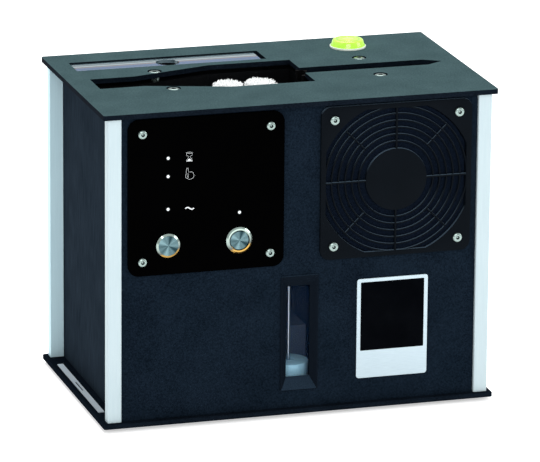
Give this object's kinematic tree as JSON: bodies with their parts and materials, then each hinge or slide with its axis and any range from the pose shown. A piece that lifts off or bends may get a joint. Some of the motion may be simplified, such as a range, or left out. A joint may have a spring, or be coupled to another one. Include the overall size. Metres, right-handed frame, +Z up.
{
  "type": "record cleaning machine",
  "caption": "Upright record cleaner: box case with a slot on top, pile rollers in it, fans with grilles, buttons, and a tank with a window below.",
  "frame": {"origin": "on the surface that the machine stands on, under the middle of the case", "axes": "+Z up, the front with the buttons faces -Y, +X to the right seen from the front"},
  "size_m": [0.3286, 0.198, 0.27],
  "materials": {
    "plate_grey": "fine sand texture, matt",
    "plate_dark": "fine sand texture, matt",
    "panel_dark": "fine sand texture, matt",
    "post_alu": "brushed and clear anodised",
    "strip_alu": "brushed",
    "console_black": "polished",
    "screw_steel": "polished",
    "lens_white": "frosted",
    "button_steel": "radially brushed",
    "switch_black": "moulded",
    "board_green": "solder mask",
    "grille_black": "moulded, fine grain",
    "foam_blue": "open foam",
    "fan_black": "moulded",
    "bezel_black": "satin",
    "glass": "clear",
    "badge_silver": "satin",
    "tank_white": "moulded, slightly see-through",
    "lid_grey": "moulded",
    "steel": "drawn bar",
    "float_white": "closed foam",
    "pump_grey": "moulded",
    "hose_clear": "soft hose",
    "chamber_black": "moulded",
    "foam_grey": "open foam",
    "acrylic": "polished acrylic",
    "wiper_rubber": "moulded",
    "wheel_white": "acetal",
    "bush_bronze": "sintered",
    "gear_cream": "acetal",
    "pile_white": "microfibre pile",
    "pinion_brass": "machined",
    "motor_steel": "plated can",
    "transducer": "turned",
    "inlet_black": "moulded",
    "level_white": "moulded",
    "vial_green": "domed, tinted liquid",
    "foot_rubber": "moulded"
  },
  "bodies": {
    "case": {"base_plate": "plate_dark", "rubber_feet": "foot_rubber", "top_plate": "plate_grey", "corner_posts": "post_alu", "front_panel": "panel_dark", "rear_panel": "panel_dark", "side_panels": "panel_dark", "base_strip": "strip_alu", "control_plate": "console_black", "panel_screws": "screw_steel", "indicator_lenses": "lens_white", "start_switch": "switch_black", "select_bezel": "button_steel", "control_board": "board_green", "grille_front": "grille_black", "grille_rear": "grille_black", "grille_screws": "screw_steel", "fan_foams": "foam_blue", "fan_frames": "fan_black", "window_bezel": "bezel_black", "sight_glass": "glass", "badge_plate": "badge_silver", "tank": "tank_white", "tank_lid": "lid_grey", "float_rod": "steel", "pump": "pump_grey", "feed_hose": "hose_clear", "wash_chamber": "chamber_black", "drain_valve": "pump_grey", "filter_tray": "chamber_black", "filter_sponge": "foam_grey", "wiper_blades": "wiper_rubber", "support_axles": "steel", "spindle_bushes": "bush_bronze", "drive_motor": "motor_steel", "transducers": "transducer", "power_inlet": "inlet_black", "level_base": "level_white", "level_vial": "vial_green", "top_screws": "screw_steel"},
    "start_button": {"start_button": "button_steel"},
    "select_button": {"select_button": "button_steel"},
    "spindle_front_left": {"spindle_front_left": "gear_cream"},
    "spindle_front_right": {"spindle_front_right": "gear_cream"},
    "spindle_rear_left": {"spindle_rear_left": "gear_cream"},
    "spindle_rear_right": {"spindle_rear_right": "gear_cream"},
    "sleeve_front_left": {"sleeve_front_left": "pile_white"},
    "sleeve_front_right": {"sleeve_front_right": "pile_white"},
    "sleeve_rear_left": {"sleeve_rear_left": "pile_white"},
    "sleeve_rear_right": {"sleeve_rear_right": "pile_white"},
    "transfer_gear": {"transfer_gear": "gear_cream"},
    "motor_pinion": {"motor_pinion": "pinion_brass"},
    "fan_rotor_front": {"fan_rotor_front": "fan_black"},
    "fan_rotor_rear": {"fan_rotor_rear": "fan_black"},
    "support_wheel_left": {"support_wheel_left": "wheel_white"},
    "support_wheel_right": {"support_wheel_right": "wheel_white"},
    "filter_lid": {"filter_lid": "acrylic"},
    "float": {"float": "float_white"},
    "power_rocker": {"power_rocker": "inlet_black"},
    "drain_plug": {"drain_plug": "switch_black"}
  },
  "joints": [
    {"name": "start_press", "type": "slide", "parent": "case", "child": "start_button", "axis": [0, 1, 0], "range_m": [0, 0.0015], "stiffness_N_per_m": 300, "springref_m": -0.002},
    {"name": "select_press", "type": "slide", "parent": "case", "child": "select_button", "axis": [0, 1, 0], "range_m": [0, 0.0015], "stiffness_N_per_m": 300, "springref_m": -0.002},
    {"name": "spindle_front_left_spin", "type": "hinge", "parent": "case", "child": "spindle_front_left", "pos_m": [-0.029, -0.0156, 0.125], "axis": [0, 0, 1], "continuous": true},
    {"name": "spindle_front_right_spin", "type": "hinge", "parent": "case", "child": "spindle_front_right", "pos_m": [-0.0015, -0.0156, 0.125], "axis": [0, 0, 1], "continuous": true},
    {"name": "spindle_rear_left_spin", "type": "hinge", "parent": "case", "child": "spindle_rear_left", "pos_m": [-0.029, 0.0156, 0.125], "axis": [0, 0, 1], "continuous": true},
    {"name": "spindle_rear_right_spin", "type": "hinge", "parent": "case", "child": "spindle_rear_right", "pos_m": [-0.0015, 0.0156, 0.125], "axis": [0, 0, 1], "continuous": true},
    {"name": "transfer_spin", "type": "hinge", "parent": "case", "child": "transfer_gear", "pos_m": [-0.01525, -0.04361, 0.125], "axis": [0, 0, 1], "continuous": true},
    {"name": "pinion_spin", "type": "hinge", "parent": "case", "child": "motor_pinion", "pos_m": [-0.01525, -0.06701, 0.125], "axis": [0, 0, 1], "continuous": true},
    {"name": "sleeve_front_left_lift", "type": "slide", "parent": "spindle_front_left", "child": "sleeve_front_left", "axis": [0, 0, 1], "range_m": [0, 0.105]},
    {"name": "sleeve_front_right_lift", "type": "slide", "parent": "spindle_front_right", "child": "sleeve_front_right", "axis": [0, 0, 1], "range_m": [0, 0.105]},
    {"name": "sleeve_rear_left_lift", "type": "slide", "parent": "spindle_rear_left", "child": "sleeve_rear_left", "axis": [0, 0, 1], "range_m": [0, 0.105]},
    {"name": "sleeve_rear_right_lift", "type": "slide", "parent": "spindle_rear_right", "child": "sleeve_rear_right", "axis": [0, 0, 1], "range_m": [0, 0.105]},
    {"name": "fan_front_spin", "type": "hinge", "parent": "case", "child": "fan_rotor_front", "pos_m": [0.0798, -0.0786, 0.193], "axis": [0, 1, 0], "continuous": true},
    {"name": "fan_rear_spin", "type": "hinge", "parent": "case", "child": "fan_rotor_rear", "pos_m": [0.0798, 0.0786, 0.193], "axis": [0, 1, 0], "continuous": true},
    {"name": "wheel_left_spin", "type": "hinge", "parent": "case", "child": "support_wheel_left", "pos_m": [-0.118, 0, 0.20293], "axis": [0, 1, 0], "continuous": true},
    {"name": "wheel_right_spin", "type": "hinge", "parent": "case", "child": "support_wheel_right", "pos_m": [0.118, 0, 0.20293], "axis": [0, 1, 0], "continuous": true},
    {"name": "filter_lid_lift", "type": "slide", "parent": "case", "child": "filter_lid", "axis": [0, 0, 1], "range_m": [0, 0.06]},
    {"name": "float_rise", "type": "slide", "parent": "case", "child": "float", "axis": [0, 0, 1], "range_m": [0, 0.07]},
    {"name": "rocker_tilt", "type": "hinge", "parent": "case", "child": "power_rocker", "pos_m": [-0.09, 0.0904, 0.183], "axis": [-1, 0, 0], "range_deg": [0, 18]},
    {"name": "drain_plug_out", "type": "slide", "parent": "case", "child": "drain_plug", "axis": [0, 1, 0], "range_m": [0, 0.025]}
  ],
  "couplings": [
    {"joint": "spindle_front_right_spin", "follows": "spindle_front_left_spin", "ratio": 1},
    {"joint": "spindle_rear_left_spin", "follows": "spindle_front_left_spin", "ratio": -1},
    {"joint": "spindle_rear_right_spin", "follows": "spindle_front_left_spin", "ratio": -1},
    {"joint": "transfer_spin", "follows": "spindle_front_left_spin", "ratio": -1},
    {"joint": "pinion_spin", "follows": "spindle_front_left_spin", "ratio": 2}
  ]
}
